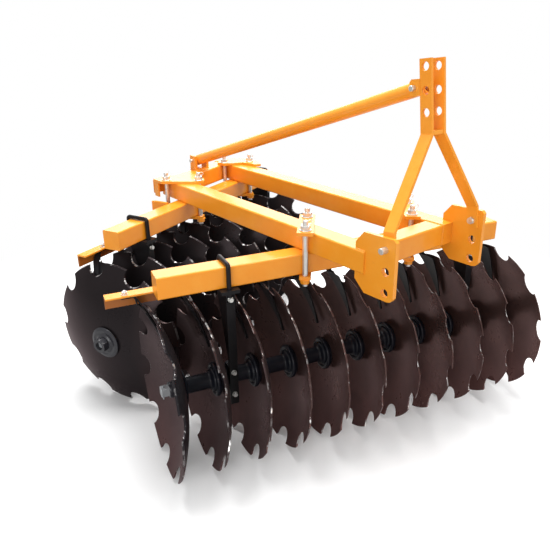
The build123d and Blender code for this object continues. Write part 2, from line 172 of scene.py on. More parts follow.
# ---- gang beams and scraper bars --------------------------------------------------------------------
# The two square tubes that carry the gangs, clamped under the frame at an angle, in the same enamel. The
# steel angles behind them, for the scrapers, are in a like enamel, with dark brown painted shade on their
# faces below the top flange.
dress(enamel, "front_gang_beam", "rear_gang_beam")
FLANGE_BAND = (0.634, 0.642)      # heights over which the painted shade below the flange fades out going up
# Dark brown painted shade for the bar faces below the top flange.
PAINTED_SHADE_BROWN = (0.27, 0.075, 0.014)
shaded_bar_enamel = Finish("orange_enamel_painted_shade", IOR=1.5, Specular_IOR_Level=0.35, Coat_Weight=0.25,
                   Coat_Roughness=0.12)
mist = shaded_bar_enamel.grain(2.2, 4.0).between(0.35, 0.7)
face = 1.0 - shaded_bar_enamel.part(2).between(*FLANGE_BAND)
sprayed = shaded_bar_enamel.mix(mist, DEEP_ORANGE, LIGHT_ORANGE)
# The faces below the flange are mixed towards dark brown: painted shade under the flange.
shaded_bar_enamel.set(Base_Color=shaded_bar_enamel.mix(face * 0.85, sprayed, PAINTED_SHADE_BROWN), Roughness=0.32 + mist * 0.08)
shaded_bar_enamel.bump(shaded_bar_enamel.grain(ORANGE_PEEL, 2.0), 0.0005, 0.3)
dress(shaded_bar_enamel, "front_scraper_bar", "rear_scraper_bar")

# ---- hitch plates, mast, brace and clamp plates -----------------------------------------------------
# The plates are flame-cut steel, the mast is bent from flat bar, and the brace is round pipe. They are
# welded, bolted or pinned on, and sprayed with the frame's enamel.
dress(enamel, "hitch_plate_right", "hitch_plate_left", "mast_plate_right", "mast_plate_left",
      "mast_spacer", "brace_pipe", "brace_lug", "corner_plate_right", "corner_plate_left",
      "front_clamp_plates", "rear_clamp_plates")

# ---- weld beads -------------------------------------------------------------------------------------
# Rippled fillet welds laid by hand where the tubes, hitch plates, ears and lug meet. They are steel
# from the electrode, sprayed over with the frame.


def skin(grids):
    """Points and faces of grids of points (rows, columns, 3) whose columns run round. A grid marked
    closed joins its last row to its first; any other gets a flat face over each end row."""
    points, faces, start = [], [], 0
    for grid, closed in grids:
        rows, columns = grid.shape[:2]
        i = np.arange(rows if closed else rows - 1)[:, None]
        j = np.arange(columns)[None, :]
        a, b, k = i * columns, (i + 1) % rows * columns, (j + 1) % columns
        faces += (start + np.stack([a + j, a + k, b + k, b + j], 2).reshape(-1, 4)).tolist()
        if not closed:
            faces.append((start + np.arange(columns))[::-1].tolist())
            faces.append((start + (rows - 1) * columns + np.arange(columns)).tolist())
        points.append(grid.reshape(-1, 3))
        start += rows * columns
    return np.concatenate(points), faces


def piece(name, grids, finish, body, slot, angle=35.0, **marks):
    """A mesh object at the origin from closed and open grids, normals outward, smooth below the
    angle, riding on a body. Marks are numbers on the points."""
    points, faces = skin(grids)
    mesh = bpy.data.meshes.new(name)
    mesh.from_pydata(points.tolist(), [], faces)
    work = bmesh.new()
    work.from_mesh(mesh)
    bmesh.ops.recalc_face_normals(work, faces=work.faces)
    work.to_mesh(mesh)
    work.free()
    for mark, values in marks.items():
        mesh.attributes.new(mark, "FLOAT", "POINT").data.foreach_set("value", np.ravel(values))
    mesh.polygons.foreach_set("use_smooth", np.ones(len(mesh.polygons), bool))
    mesh.set_sharp_from_angle(angle=math.radians(angle))
    mesh.materials.append(finish.material)
    made = bpy.data.objects.new(name, mesh)
    bpy.context.scene.collection.objects.link(made)
    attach(made, body)
    return made


def around(columns):
    """Angles of equal steps round a circle."""
    return np.linspace(0, 2 * math.pi, columns, endpoint=False)


def across(axis):
    """Two unit vectors square to an axis and to each other, the second one axis x the first."""
    axis = np.asarray(axis, float) / np.linalg.norm(axis)
    first = np.cross(axis, (0, 0, 1.0) if abs(axis[2]) < 0.9 else (1.0, 0, 0))
    first /= np.linalg.norm(first)
    return first, np.cross(axis, first)


def rope(path, radius, columns=12):
    """Tube round a path that is straight or lies in one plane. At each point of the path stands a
    circle: point + radius * (cos(a) * first + sin(a) * second), with first square to the plane and
    second = direction x first."""
    lead = np.gradient(path, axis=0)
    lead /= np.linalg.norm(lead, axis=1, keepdims=True)
    first = across(lead[0])[0]
    second = np.cross(lead, first)[:, None]
    angle = around(columns)[:, None]
    radius = np.broadcast_to(radius, len(path))[:, None, None]
    return path[:, None] + radius * (np.cos(angle) * first + np.sin(angle) * second), False


# Lengths are in metres, and heights are above the ground.
right_low, right_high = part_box("long_beam_right")
left_low, left_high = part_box("long_beam_left")
UNDER, TOP = right_low.z, right_high.z
RIGHT_IN, LEFT_IN = right_high.y, left_low.y
CROSS_BACK, CROSS_FRONT = (corner.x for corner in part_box("front_crossbeam"))
REAR_RIGHT, REAR_LEFT = -0.4760, -0.6160      # front ends of the seams over the skewed crossbeam
REAR_LONG, REAR_STEP = 0.0800, 0.0027         # their length, and from there to the upright seams
PLATE_BACK, PLATE_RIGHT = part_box("hitch_plate_right")[0].xy
PLATE_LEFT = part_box("hitch_plate_left")[1].y
lug_low, lug_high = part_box("brace_lug")
LUG_TOP = lug_low.z + 0.0100                  # top of the lug's foot
EAR_X, EAR_Y, EAR_Z = (0.7020, 0.7000), (0.0226, 0.0726), (1.2600, 1.3080)
SEAMS = [
    ((CROSS_FRONT, RIGHT_IN, UNDER), (CROSS_FRONT, RIGHT_IN, TOP)),
    ((CROSS_FRONT, LEFT_IN, UNDER), (CROSS_FRONT, LEFT_IN, TOP)),
    ((CROSS_BACK, RIGHT_IN, TOP), (CROSS_FRONT, RIGHT_IN, TOP)),
    ((CROSS_BACK, LEFT_IN, TOP), (CROSS_FRONT, LEFT_IN, TOP)),
    ((REAR_RIGHT - REAR_LONG, RIGHT_IN, TOP), (REAR_RIGHT, RIGHT_IN, TOP)),
    ((REAR_RIGHT + REAR_STEP, RIGHT_IN, UNDER), (REAR_RIGHT + REAR_STEP, RIGHT_IN, TOP)),
    ((REAR_LEFT - REAR_LONG, LEFT_IN, TOP), (REAR_LEFT, LEFT_IN, TOP)),
    ((REAR_LEFT + REAR_STEP, LEFT_IN, UNDER), (REAR_LEFT + REAR_STEP, LEFT_IN, TOP)),
    ((PLATE_BACK, PLATE_RIGHT, UNDER), (PLATE_BACK, PLATE_RIGHT, TOP)),
    ((PLATE_BACK, PLATE_RIGHT, TOP), (CROSS_FRONT, PLATE_RIGHT, TOP)),
    ((PLATE_BACK, PLATE_LEFT, TOP), (CROSS_FRONT, PLATE_LEFT, TOP)),
    ((lug_low.x, lug_low.y, LUG_TOP), (lug_high.x, lug_low.y, LUG_TOP)),
    ((lug_low.x, lug_low.y, lug_low.z), (lug_high.x, lug_low.y, lug_low.z)),
    ((lug_high.x, lug_low.y, lug_low.z), (lug_high.x, lug_high.y, lug_low.z)),
    ((EAR_X[0], EAR_Y[0], EAR_Z[0]), (EAR_X[1], EAR_Y[0], EAR_Z[1])),
    ((EAR_X[0], EAR_Y[1], EAR_Z[0]), (EAR_X[1], EAR_Y[1], EAR_Z[1])),
]
BEAD_R, BEAD_STEP = 0.0032, 0.0022
RIPPLE, UNEVEN = 0.0005, 0.00025
beads = []
chance = np.random.default_rng(7)
for start, end in SEAMS:
    start, end = np.array(start), np.array(end)
    steps = max(8, int(np.linalg.norm(end - start) / BEAD_STEP))
    t = np.linspace(0, 1, steps)
    ripple = BEAD_R + RIPPLE * np.sin(t * steps * 1.9) + chance.normal(0, UNEVEN, steps)
    ripple *= np.clip(np.minimum(t, 1 - t) * 14 + 0.45, 0, 1)
    beads.append(rope(start + (end - start) * t[:, None], ripple, 10))
piece("weld_beads", beads, enamel, "frame", "frame_paint", 60.0)

# ---- clamp bolts, mast bolts and brace pins ---------------------------------------------------------
# Bright zinc plated rods with a hexagon nut and washer at each end, the lower ones painted over, and
# spring clips through the tops of the rods and the ends of the pins.
DULL_ZINC, BRIGHT_ZINC = (0.62, 0.62, 0.6), (0.85, 0.84, 0.8)
zinc = Finish("zinc_plate", Metallic=0.8, IOR=1.5)
dull = zinc.grain(60.0, 4.0)
stain = zinc.grain(210.0, 3.0).between(0.5, 0.75)
zinc.set(Base_Color=zinc.mix(dull, DULL_ZINC, BRIGHT_ZINC),
         Roughness=0.22 + dull * 0.18 + stain * 0.12)
zinc.bump(stain, 0.0002, 0.3)
dress(zinc, "front_clamp_bolts", "rear_clamp_bolts", "mast_bolts", "brace_pins")

UPWARD, DOWNWARD = (0.0, 0.0, 1.0), (0.0, 0.0, -1.0)


def moved(grid, at):
    """The grid with its origin at a point."""
    points, closed = grid
    return points + np.array(at), closed


def stood(grid, at, axis=UPWARD):
    """Turns the local z of a grid to an axis and moves its origin to a point."""
    axis = np.asarray(axis, float) / np.linalg.norm(axis)
    first, second = across(axis)
    points, closed = grid
    return moved((points @ np.array([first, second, axis]), closed), at)


def swung(grid, angle):
    """Turns a grid about local z."""
    points, closed = grid
    c, s = math.cos(angle), math.sin(angle)
    return points @ np.array([[c, s, 0.0], [-s, c, 0.0], UPWARD]), closed


def turned(profile, columns=40):
    """Surface of revolution: each (radius, height) of the profile is a circle round local z. The
    profile runs all the way round a section, so the surface closes on itself."""
    r, h = np.array(profile, float).T[:, :, None]
    angle = around(columns)
    return np.stack([r * np.cos(angle), r * np.sin(angle), h + 0 * angle], 2), True


def nut(flat, bore, height):
    """Hexagon nut: radius flat / (2 cos(a)), a being the angle from the middle of the nearest side,
    held under a smaller circle at both faces, which is the chamfer."""
    angle = around(48)
    side = flat / 2 / np.cos((angle + math.pi / 6) % (math.pi / 3) - math.pi / 6)
    chamfer = np.minimum(side, flat * 0.515)
    drop = 0.1 * height + (side - chamfer) * 0.5
    even = np.ones(angle.size)
    r = np.stack([bore * even, chamfer, side, side, chamfer, bore * even])
    h = np.stack([0 * even, 0 * even, drop, height - drop, height * even, height * even])
    return np.stack([r * np.cos(angle), r * np.sin(angle), h], 2), True


def washer(outer, bore, thick):
    """Flat ring with rounded outer corners."""
    c = thick * 0.3
    return turned([(bore, 0), (outer - c, 0), (outer, c), (outer, thick - c), (outer - c, thick),
                   (bore, thick)])


Fastener = namedtuple("Fastener", "bore washer thick flat height")


def fastened(size, at, axis):
    """A washer on a face at a point, and a nut on the washer."""
    on_washer = np.array(at) + np.array(axis) * size.thick
    return [stood(washer(size.washer, size.bore, size.thick), at, axis),
            stood(nut(size.flat, size.bore, size.height), on_washer, axis)]


def clip(size, wire):
    """Spring clip of round wire in local x, z: a straight leg through the pin, a loop, and a waved
    leg, z = size * (1 - 0.42 sin(pi s)^2 + 0.2 s^4) for s from 0 to 1 on its way back."""
    s = np.linspace(0, 1, 16)
    turn = math.pi * (s - 0.5)
    wave = 1.0 - 0.42 * np.sin(math.pi * s) ** 2 + 0.2 * s ** 4
    leg = np.stack([-size + 2.2 * size * s, 0 * s, 0 * s], 1)
    loop = np.stack([size * (1.2 + 0.5 * np.cos(turn)), 0 * s, size * 0.5 * (1.0 + np.sin(turn))], 1)
    back = np.stack([size * (1.2 - 1.9 * s), 0 * s, size * wave], 1)
    return rope(np.concatenate([leg, loop[1:], back[1:]]), wire, 8)


Gang = namedtuple("Gang", "centre along ahead first_disc way discs hung notches")


def gang_of(name, **counts):
    """A gang on its spin joint in the frame: a point of the axle, the axle's direction, and the level
    direction square to it. first_disc is the place of disc 0 along the axle, and way is -1 where the
    row runs the other way round. hung are the discs with a hanger next to them, and notches the
    angles of the first notch of even and odd discs."""
    spin = next(j for j in frame["joints"] if j["name"] == name + "_gang_spin")
    x, y, _ = spin["axis"]
    return Gang(np.array(spin["pos_m"]), np.array([x, y, 0.0]), np.array([y, -x, 0.0]), **counts)


GANGS = {
    "front": gang_of("front", first_disc=-0.709, way=1.0, discs=11, hung=(1, 8), notches=(10.5, 28.5)),
    "rear": gang_of("rear", first_disc=0.4765, way=-1.0, discs=10, hung=(0, 7), notches=(23.0, 5.0)),
}


def beside(gang, y, off):
    """x of a rod that stands off the middle of a gang beam, measured square to it, at the rod's y:
    x0 + (y - y0) tan(turn) + off / cos(turn)."""
    return gang.centre[0] + ((y - gang.centre[1]) * gang.along[0] + off) / gang.along[1]


LOW_PLATE, TOP_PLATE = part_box("rear_clamp_plates")[0].z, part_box("front_clamp_plates")[1].z
ROD_TOP, FLANGE_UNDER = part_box("front_clamp_bolts")[1].z, 0.6400
RIGHT_OUTER, RIGHT_INNER = (right_low.y + right_high.y) / 2 + np.array([-0.058, 0.048])
LEFT_INNER, LEFT_OUTER, LEFT_WIDE = (left_low.y + left_high.y) / 2 + np.array([-0.048, 0.058, -0.058])
NEAR_ROD, FAR_ROD = 0.0487, -0.0850           # close beside a gang beam, and through its scraper bar
CLAMP_BOLTS = [
    #  gang    y            off the beam  lower nut under  clip turned
    ("front", RIGHT_OUTER, NEAR_ROD, LOW_PLATE, 0.9),
    ("front", RIGHT_INNER, FAR_ROD, FLANGE_UNDER, 2.4),
    ("front", LEFT_INNER, NEAR_ROD, LOW_PLATE, 1.1),
    ("front", LEFT_OUTER, FAR_ROD, FLANGE_UNDER, 0.4),
    ("rear", RIGHT_OUTER, FAR_ROD, FLANGE_UNDER, 2.2),
    ("rear", RIGHT_INNER, NEAR_ROD, LOW_PLATE, 0.8),
    ("rear", LEFT_WIDE, -NEAR_ROD, LOW_PLATE, 1.7),
    ("rear", LEFT_OUTER, NEAR_ROD, LOW_PLATE, 0.3),
]
TOP_NUT = Fastener(bore=0.0096, washer=0.0205, thick=0.003, flat=0.030, height=0.014)
LOW_NUT = TOP_NUT._replace(height=0.0135)
ROD_CHAMFER = [(0.0, 0.0), (0.0094, 0.0), (0.0078, 0.0022), (0.0, 0.0022)]
ROD_CLIP, PIN_CLIP = clip(0.013, 0.0013), clip(0.011, 0.0012)
CLIP_DOWN, CLIP_IN = 0.009, 0.0045
hardware, painted = [], []
for name, y, off, under, swing in CLAMP_BOLTS:
    x = beside(GANGS[name], y, off)
    hardware += fastened(TOP_NUT, (x, y, TOP_PLATE), UPWARD)
    painted += fastened(LOW_NUT, (x, y, under), DOWNWARD)
    hardware.append(stood(turned(ROD_CHAMFER, 24), (x, y, ROD_TOP)))
    hardware.append(moved(swung(ROD_CLIP, swing), (x, y, ROD_TOP - CLIP_DOWN)))

bolt_low, bolt_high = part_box("mast_bolts")
MAST_X, MAST_Z = (bolt_low.x + bolt_high.x) / 2, (bolt_low.z + bolt_high.z) / 2
MAST_STACK = 0.0253                           # hitch plate and mast foot together
MAST_NUT = nut(0.0232, 0.0101, 0.0085)
BOLT_END = [(0.0, 0.0), (0.0104, 0.0), (0.0104, 0.0225), (0.0092, 0.0240), (0.0, 0.0240)]
for y, out in ((PLATE_RIGHT, -1.0), (PLATE_LEFT, 1.0)):
    hardware.append(stood(turned(BOLT_END, 28), (MAST_X, y, MAST_Z), (0, out, 0)))
    hardware.append(stood(MAST_NUT, (MAST_X, y - out * MAST_STACK, MAST_Z), (0, -out, 0)))

pin_low, pin_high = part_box("brace_pins")
PIN_R = 0.0087
PIN_END = [(0.0, 0.0), (0.0089, 0.0), (0.0089, 0.0006), (0.0076, 0.0018), (0.0, 0.0018)]
for x, z in ((pin_high.x - PIN_R, pin_high.z - PIN_R), (pin_low.x + PIN_R, pin_low.z + PIN_R)):
    hardware.append(stood(turned(PIN_END, 28), (x, pin_low.y, z), (0, -1, 0)))
    hardware.append(moved(PIN_CLIP, (x, pin_high.y - CLIP_IN, z)))
piece("nuts_and_clips", hardware, zinc, "frame", "zinc_plate", 28.0)
piece("lower_clamp_nuts", painted, enamel, "frame", "frame_paint", 28.0)

# ---- corner web -------------------------------------------------------------------------------------
# A small plate that closes the lip of the right rear corner plate back to the end of the long beam,
# cut from 6 mm strip, welded and painted.


def plate(corners, low, high, bevel):
    """Flat plate standing on an outline in x, y, from one height to another, its outline drawn in by
    the bevel at both faces."""
    corners = np.array(corners)
    away = corners - corners.mean(0)
    drawn = corners.mean(0) + away * (1 - bevel / np.abs(away).max(1, keepdims=True))
    outlines = np.stack([drawn, corners, corners, drawn])
    heights = np.array([low, low + bevel, high - bevel, high])[:, None, None]
    return np.concatenate([outlines, heights + 0 * outlines[..., :1]], 2), False


WEB_BACK, WEB_FRONT, WEB_RIGHT, WEB_LEFT = -0.5372, -0.5314, -0.2378, -0.1926
WEB_FOOT, WEB_HEAD, WEB_BEVEL = 0.7560, 0.8150, 0.0012
web = plate([(WEB_BACK, WEB_RIGHT), (WEB_FRONT, WEB_RIGHT), (WEB_FRONT, WEB_LEFT), (WEB_BACK, WEB_LEFT)],
            WEB_FOOT, WEB_HEAD, WEB_BEVEL)
piece("corner_web", [web], enamel, "frame", "frame_paint")

# ---- hangers and U-bolts ----------------------------------------------------------------------------
# Bent strip and rod, dipped in satin black paint. Black nuts hold the U-bolts under each hanger's pad,
# and zinc bolts hold the bearing housing to its web.
DEEP_BLACK, FADED_BLACK, CHIPPED = (0.006, 0.006, 0.007), (0.015, 0.013, 0.014), (0.12, 0.11, 0.11)
black = Finish("satin_black_paint", IOR=1.45, Specular_IOR_Level=0.22)
streak = black.grain(14.0, 5.0)
chip = black.grain(90.0, 5.0, 0.7).between(0.68, 0.78)
black.set(Base_Color=black.mix(chip * 0.5, black.mix(streak, DEEP_BLACK, FADED_BLACK), CHIPPED),
          Roughness=0.26 + streak * 0.2 + chip * 0.15)
black.bump(black.grain(300.0, 2.0), 0.0004, 0.3)
dress(black, "front_hangers", "rear_hangers", "front_u_bolts", "rear_u_bolts")

PITCH = 0.1425            # from disc to disc
AXLE_Z = GANGS["front"].centre[2]


def gang_row(gang, grid, step=0, height=0.0):
    """Moves a grid made in a gang's own frame, +y along the row from its hollow end, +z up, to the
    shared frame, a number of discs along the row: start + way * (x * ahead + y * along) + z * up."""
    points, closed = grid
    start = gang.centre * (1, 1, 0) + (0, 0, height) + gang.along * gang.first_disc
    level = points[..., :1] * gang.ahead + (points[..., 1:2] + PITCH * step) * gang.along
    return start + gang.way * level + points[..., 2:] * UPWARD, closed


PAD_T, U_BOLT_X = 0.012, 0.047
PAD_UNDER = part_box("front_hangers")[1].z - PAD_T
HANG_AT = 0.034           # middle of a hanger, from its disc along the row
WEB_FACE, HOUSING_BOLTS = 0.057, (0.629, 0.350, 0.262)
U_BOLT_NUT = Fastener(bore=0.0081, washer=0.0165, thick=0.0025, flat=0.025, height=0.012)
HOUSING_NUT = Fastener(bore=0.0, washer=0.0098, thick=0.0016, flat=0.0145, height=0.008)
for name, gang in GANGS.items():
    nuts, bolts = [], []
    for k in gang.hung:
        for x in (-U_BOLT_X, U_BOLT_X):
            pair = fastened(U_BOLT_NUT, (x, HANG_AT, PAD_UNDER), DOWNWARD)
            nuts += [gang_row(gang, part, k) for part in pair]
        for z in HOUSING_BOLTS:
            pair = fastened(HOUSING_NUT, (gang.way * WEB_FACE, HANG_AT, z), (gang.way, 0.0, 0.0))
            bolts += [gang_row(gang, part, k) for part in pair]
    piece(name + "_u_bolt_nuts", nuts, black, "frame", "black_paint", 28.0)
    piece(name + "_housing_bolts", bolts, zinc, "frame", "zinc_plate", 28.0)

# ---- scrapers ---------------------------------------------------------------------------------------
# Pointed fingers bent from strip to lie close to the hollow of each disc. The foot of each is bent
# under the bar's top flange and held by one zinc bolt. Beside each finger a black pointed wedge lies
# close over the hollow as painted shadow: the shadow the finger casts on its disc.
dress(black, "front_scrapers", "rear_scrapers")

DISH_R, DISC_R, DISC_T = 0.65, 0.305, 0.005      # sphere of the hollow, disc, and its thickness
FOOT_X, FOOT_START, FOOT_Z = 0.092, -0.152, 0.6364
FLAT_LONG, BEND_LONG, BEND_R, BEND_ANGLE = 0.034, 0.013, 0.016, 1.3


def foot(side):
    """Strip 25 mm wide and 4.4 mm thick along a bent path in y, z: flat under the flange, then round a
    bend y = y0 + 0.013 sin(a), z = z0 - 0.016 (1 - cos(a)), then down on to the finger. Across each
    point of the path stands a rectangle with cut corners."""
    s = np.linspace(0, 1, 9)
    bend_y = FOOT_START + FLAT_LONG + BEND_LONG * np.sin(s * BEND_ANGLE)
    bend_z = FOOT_Z - BEND_R * (1 - np.cos(s * BEND_ANGLE))
    y = np.concatenate([FOOT_START + FLAT_LONG * s, bend_y[1:], bend_y[-1] + 0.004 * s[1:]])
    z = np.concatenate([FOOT_Z + 0 * s, bend_z[1:], bend_z[-1] - 0.022 * s[1:]])
    lead = np.hypot(np.gradient(y), np.gradient(z))
    off_y, off_z = -np.gradient(z) / lead, np.gradient(y) / lead
    half, t, c = 0.0125, 0.0022, 0.001
    width = np.array([-half, c - half, half - c, half, half, half - c, c - half, -half])
    depth = np.array([c - t, -t, -t, c - t, t - c, t, t, t - c])
    return np.stack([side * FOOT_X + width + 0 * y[:, None], y[:, None] + off_y[:, None] * depth,
                     z[:, None] + off_z[:, None] * depth], 2), False


def dish(r, ball=DISH_R):
    """Place along the axle of a disc's hollow at a radius, from its vertex: sqrt(ball^2 - r^2) - S,
    with S the sphere of the hollow. Another ball gives a surface concentric with it."""
    return np.sqrt(ball ** 2 - r ** 2) - DISH_R


def shadow_wedge(side):
    """Black pointed wedge on the hollow side of a finger, painted shadow that the finger casts on its disc,
    going down by t from 0 to 1: half width 0.04 (1 - t) + 0.002, its middle from x = 0.062 to 0.035, each
    point lying on the sphere of radius S - 0.0122 (face next to the finger) or S - 0.0162."""
    t = np.linspace(0, 1, 15)[:, None]
    there, back = np.linspace(-1, 1, 7), np.linspace(1, -1, 7)
    ball = DISH_R - np.repeat([0.0122, 0.0162], 7)
    x = side * (0.062 - 0.027 * t + (0.040 * (1 - t) + 0.002) * np.concatenate([there, back]))
    z = 0.600 - 0.183 * t + 0 * x
    return np.stack([x, dish(np.hypot(x, z - AXLE_Z), ball), z], 2), False


BOLT_Y, FLANGE_TOP = -0.138, 0.646
SCRAPER_NUT = Fastener(bore=0.0051, washer=0.0115, thick=0.002, flat=0.017, height=0.008)
STUD = [(0.0, 0.0), (0.005, 0.0), (0.005, 0.013), (0.0042, 0.0145), (0.0, 0.0145)]
for name, gang in GANGS.items():
    at = (-gang.way * FOOT_X, BOLT_Y, FLANGE_TOP)
    bolt = fastened(SCRAPER_NUT, at, UPWARD) + [stood(turned(STUD, 16), at)]
    row = range(gang.discs)
    feet = [gang_row(gang, foot(-gang.way), k) for k in row]
    # Black wedges close over each hollow: painted shadow of each finger on its disc.
    shadow_wedges = [gang_row(gang, shadow_wedge(-gang.way), k) for k in row]
    bolts = [gang_row(gang, part, k) for k in row for part in bolt]
    piece(name + "_scraper_feet", feet, black, "frame", "black_paint")
    piece(name + "_scraper_shadow_wedges", shadow_wedges, black, "frame", "black_paint")
    piece(name + "_scraper_bolts", bolts, zinc, "frame", "zinc_plate", 28.0)

# ---- bearing housings and spools --------------------------------------------------------------------
# Iron castings under blue-black paint. Each spool has a dished flange with a raised ring at both ends,
# and is clamped between two discs by the axle's nuts.
DEEP_BLUE_BLACK, BLUE_BLACK = (0.006, 0.007, 0.011), (0.016, 0.018, 0.028)
casting = Finish("blue_black_casting", IOR=1.5, Specular_IOR_Level=0.3, Coat_Weight=0.1, Coat_Roughness=0.12)
sand = casting.grain(260.0, 3.0)
pool = casting.grain(22.0, 4.0)
casting.set(Base_Color=casting.mix(pool, DEEP_BLUE_BLACK, BLUE_BLACK),
            Roughness=0.22 + sand * 0.2 + pool * 0.1)
casting.bump(sand * 0.6 + pool * 0.4, 0.0008, 0.4)
dress(casting, "front_bearings", "rear_bearings")

# Radius and place along the axle, in millimetres, from the disc's back to the next disc's hollow.
SPOOL_BORE, FAR_FACE = 23.5, 139.2
SPOOL_END = [(SPOOL_BORE, 5.4), (57.5, 5.4), (60.5, 6.2), (61.9, 8.2), (61.4, 10.6), (59.0, 12.2),
             (55.5, 12.0), (52.0, 10.3), (48.5, 10.0), (46.6, 11.8), (44.0, 14.6), (40.5, 15.2),
             (37.2, 14.0), (34.5, 13.2), (31.5, 14.6), (29.6, 17.2), (29.0, 20.0)]
BELL_END = [(29.0, 96.0), (30.0, 101.0), (33.0, 105.0), (37.5, 107.5), (41.0, 110.0), (42.5, 114.0),
            (43.0, 117.5), (46.0, 118.5), (49.0, 116.5), (53.0, 114.0), (57.5, 114.3), (60.8, 116.8),
            (62.0, 121.0), (61.5, 127.0), (58.5, 130.5), (52.0, 132.0), (50.0, 134.0), (50.0, FAR_FACE),
            (SPOOL_BORE, FAR_FACE)]
upright, closed = turned(np.array(SPOOL_END + BELL_END) / 1000, 48)
spool = upright[..., [0, 2, 1]], closed
for name, gang in GANGS.items():
    spools = [gang_row(gang, spool, k, AXLE_Z) for k in range(gang.discs - 1)]
    made = piece(name + "_spool_set", spools, casting, name + "_gang", "black_casting", 40.0)
    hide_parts(name + "_spools")

# ---- axles ------------------------------------------------------------------------------------------
# Square rolled bar through every disc. Each end has a dished washer and a hexagon nut, painted slate
# with the discs, and a bare end of bar with a split pin through it.
steel = Finish("slate_and_bare_bar", IOR=1.5)
bared = steel.mark("bare").between(0.4, 0.6)
scale = steel.grain(45.0, 5.0)
slate = steel.mix(scale, (0.013, 0.013, 0.017), (0.032, 0.031, 0.037))
bright = steel.mix(scale, (0.33, 0.35, 0.37), (0.5, 0.51, 0.52))
steel.set(Base_Color=steel.mix(bared, slate, bright), Roughness=0.22 + scale * 0.2, Metallic=bared * 0.45)
steel.bump(scale, 0.0004, 0.3)


def square_bar(start, end, half):
    """Square bar along y with rounded corners: at each angle a the radius half / (cos(a)^10 +
    sin(a)^10)^0.1, drawn in to 0.86 of it at both ends."""
    angle = around(48)
    r = half / (np.abs(np.cos(angle)) ** 10 + np.abs(np.sin(angle)) ** 10) ** 0.1
    share = np.array([0.86, 1.0, 1.0, 0.86])[:, None]
    y = np.array([start, start + 0.0025, end - 0.0025, end])[:, None]
    return np.stack([share * r * np.cos(angle), y + 0 * r, share * r * np.sin(angle)], 2), False


BAR_HALF, SEAT_R, SEAT_GAP = 0.016, 0.065, 0.0003
END_NUT, NUT_SEAT = nut(0.054, 0.0165, 0.024), 0.0145
BAR_OUT, BAR_FLUSH = 0.070, 0.030     # past the last disc; the rear bar ends flush in its near nut
DISHED_WASHER = [(16.5, 0.0), (40.0, 0.0), (62.0, 0.0), (64.4, 1.2), (65.2, 3.4), (64.2, 5.4), (60.0, 6.6),
                 (55.0, 9.0), (51.0, 9.6), (47.0, 8.2), (43.0, 7.8), (39.0, 9.4), (35.5, 13.0),
                 (32.0, 14.5), (16.5, 14.5)]
SPLIT_PIN = [(0.0, 0.0), (0.0028, 0.0), (0.0028, 0.054), (0.0, 0.054)]
PIN_DROP, PIN_IN = -0.031, 0.009
PAINTED_PART, BARE_PART = 0.0, 1.0
for name, gang in GANGS.items():
    last = PITCH * (gang.discs - 1)
    hollow_seat, back_seat = dish(SEAT_R), last + DISC_T
    far_end = last + (BAR_OUT if name == "front" else BAR_FLUSH)
    parts, bare = [], []
    for seat, out, end in ((hollow_seat - SEAT_GAP, -1.0, -BAR_OUT), (back_seat + SEAT_GAP, 1.0, far_end)):
        dished = turned(np.array(DISHED_WASHER) / 1000, 48)
        parts.append(stood(dished, (0, seat, 0), (0, out, 0)))
        parts.append(stood(END_NUT, (0, seat + out * NUT_SEAT, 0), (0, out, 0)))
        parts.append(square_bar(min(seat, end), max(seat, end), BAR_HALF))
        parts.append(stood(turned(SPLIT_PIN, 12), (0, end - out * PIN_IN, PIN_DROP)))
        bare += [PAINTED_PART, PAINTED_PART, BARE_PART, BARE_PART]
    parts.append(square_bar(hollow_seat, back_seat, BAR_HALF))
    bare.append(PAINTED_PART)
    made = piece(name + "_axle_bar", [gang_row(gang, part, 0, AXLE_Z) for part in parts], steel,
                 name + "_gang", "axle_steel", 28.0,
                 bare=np.repeat(bare, [grid[..., 0].size for grid, _ in parts]))
    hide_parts(name + "_axle")

# ---- discs ------------------------------------------------------------------------------------------
# Pressed spring-steel dishes with ten half-round notches, in dark brown lacquer, with a ground bevel
# worn bright in places, and that bright edge is also a painted highlight. The lacquer's colour carries
# painted light and shade: dark grey at the top and light red low down on the near end discs, a lighter
# brown, redder low down, over the rest of the front row, and near-black on the rear gang. Every other
# disc is turned by half a notch on the axle.
NOTCHES, NOTCH_R, NOTCH_AT = 10, 0.042, 0.302
BEVEL, LIP = 0.0032, 0.0016
CIRCLES = (0.03, 0.06, 0.1, 0.14, 0.175, 0.205, 0.23, 0.248)      # rows inside the notches


def disc_outline(first):
    """Radius and angle round one disc: arcs of the full radius with notch arcs between them. A notch
    point is centre + radius * (cos, sin) of an angle that sweeps the part of its circle inside."""
    half = math.acos((DISC_R ** 2 + NOTCH_AT ** 2 - NOTCH_R ** 2) / (2 * DISC_R * NOTCH_AT))
    end = math.atan2(DISC_R * math.sin(half), DISC_R * math.cos(half) - NOTCH_AT)
    sweep = np.linspace(-end, end - 2 * math.pi, 15)
    bite_x, bite_y = NOTCH_AT + NOTCH_R * np.cos(sweep), NOTCH_R * np.sin(sweep)
    arc = np.linspace(half, 2 * math.pi / NOTCHES - half, 8)[1:-1]
    angle = np.concatenate([np.arctan2(bite_y, bite_x), arc])
    radius = np.concatenate([np.hypot(bite_x, bite_y), DISC_R + 0 * arc])
    turn = math.radians(first) + np.arange(NOTCHES)[:, None] * 2 * math.pi / NOTCHES
    return np.tile(radius, NOTCHES), (angle + turn).ravel()


